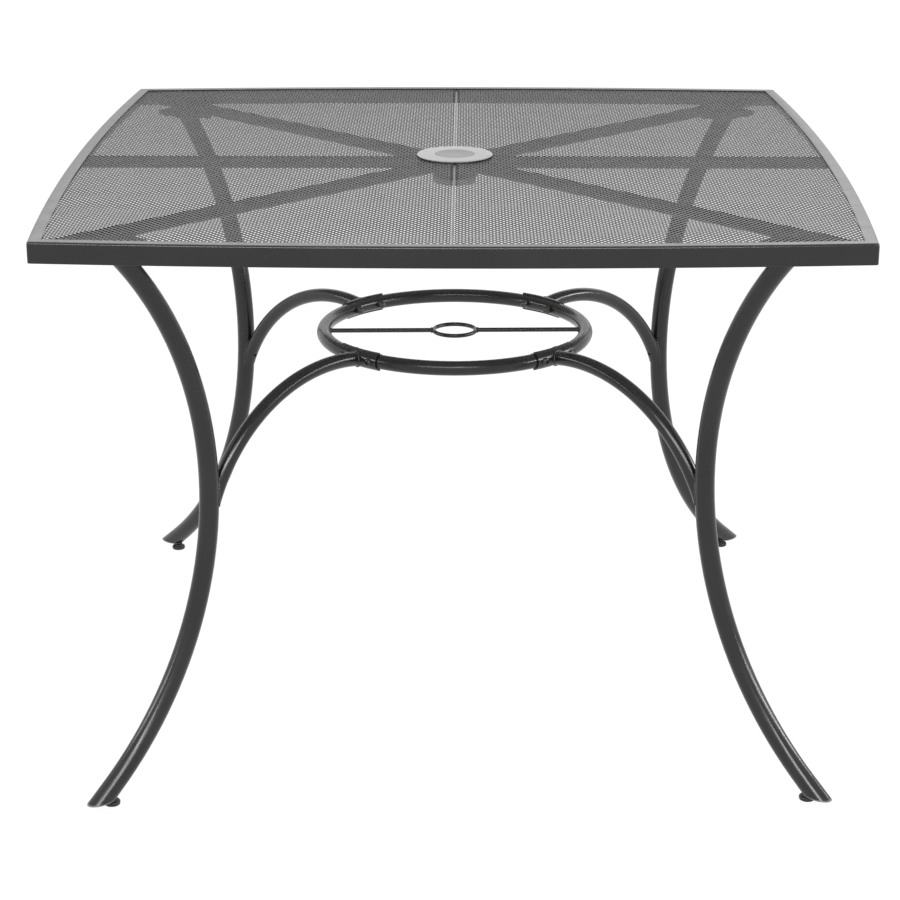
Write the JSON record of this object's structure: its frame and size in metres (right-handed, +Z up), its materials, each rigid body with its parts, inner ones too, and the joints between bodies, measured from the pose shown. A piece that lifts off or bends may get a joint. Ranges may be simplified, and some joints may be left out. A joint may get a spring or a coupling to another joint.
{
  "type": "garden table",
  "caption": "Square metal garden table with a bowed expanded-mesh top, parasol collar, curved splayed legs and a braced centre ring.",
  "frame": {"origin": "on the floor, under the middle of the table", "axes": "+Z up; -Y towards the front edge, +X towards the right edge as the picture shows them"},
  "size_m": [1, 1, 0.7285],
  "materials": {
    "powder_coat": "satin powder coat",
    "mesh": "satin powder coat",
    "collar": "moulded, light grey",
    "cap": "moulded, fine texture",
    "plug": "moulded",
    "pad": "moulded, black",
    "fastener": "dark, satin"
  },
  "bodies": {
    "table": {"rail_front": "powder_coat", "rail_right": "powder_coat", "rail_rear": "powder_coat", "rail_left": "powder_coat", "mesh_left": "mesh", "mesh_right": "mesh", "mesh_seam": "mesh", "cross_bar_left": "powder_coat", "cross_bar_right": "powder_coat", "diagonal_front_left": "powder_coat", "diagonal_front_right": "powder_coat", "diagonal_rear_right": "powder_coat", "diagonal_rear_left": "powder_coat", "hub": "powder_coat", "parasol_collar": "collar", "mount_plate_front_left": "powder_coat", "mount_plate_front_right": "powder_coat", "mount_plate_rear_right": "powder_coat", "mount_plate_rear_left": "powder_coat", "leg_flange_front_left": "powder_coat", "leg_flange_front_right": "powder_coat", "leg_flange_rear_right": "powder_coat", "leg_flange_rear_left": "powder_coat", "leg_screws": "fastener", "leg_front_left": "powder_coat", "leg_front_right": "powder_coat", "leg_rear_right": "powder_coat", "leg_rear_left": "powder_coat", "foot_plug_front_left": "plug", "foot_plug_front_right": "plug", "foot_plug_rear_right": "plug", "foot_plug_rear_left": "plug", "brace_front_left": "powder_coat", "brace_front_right": "powder_coat", "brace_rear_right": "powder_coat", "brace_rear_left": "powder_coat", "ring": "powder_coat", "saddle_front_left": "powder_coat", "saddle_front_right": "powder_coat", "saddle_rear_right": "powder_coat", "saddle_rear_left": "powder_coat", "saddle_bolts": "fastener", "saddle_nuts": "fastener", "rod_left": "powder_coat", "rod_right": "powder_coat", "guide_ring": "powder_coat"},
    "parasol_cap": {"parasol_cap": "cap"},
    "glide_front_left": {"glide_front_left": "pad"},
    "glide_front_right": {"glide_front_right": "pad"},
    "glide_rear_right": {"glide_rear_right": "pad"},
    "glide_rear_left": {"glide_rear_left": "pad"}
  },
  "joints": [
    {"name": "cap_lift", "type": "slide", "parent": "table", "child": "parasol_cap", "axis": [0, 0, 1], "range_m": [0, 0.06]},
    {"name": "glide_front_left_screw", "type": "slide", "parent": "table", "child": "glide_front_left", "axis": [0, 0, 1], "range_m": [-0.01, 0.0012]},
    {"name": "glide_front_right_screw", "type": "slide", "parent": "table", "child": "glide_front_right", "axis": [0, 0, 1], "range_m": [-0.01, 0.0012]},
    {"name": "glide_rear_right_screw", "type": "slide", "parent": "table", "child": "glide_rear_right", "axis": [0, 0, 1], "range_m": [-0.01, 0.0012]},
    {"name": "glide_rear_left_screw", "type": "slide", "parent": "table", "child": "glide_rear_left", "axis": [0, 0, 1], "range_m": [-0.01, 0.0012]}
  ]
}
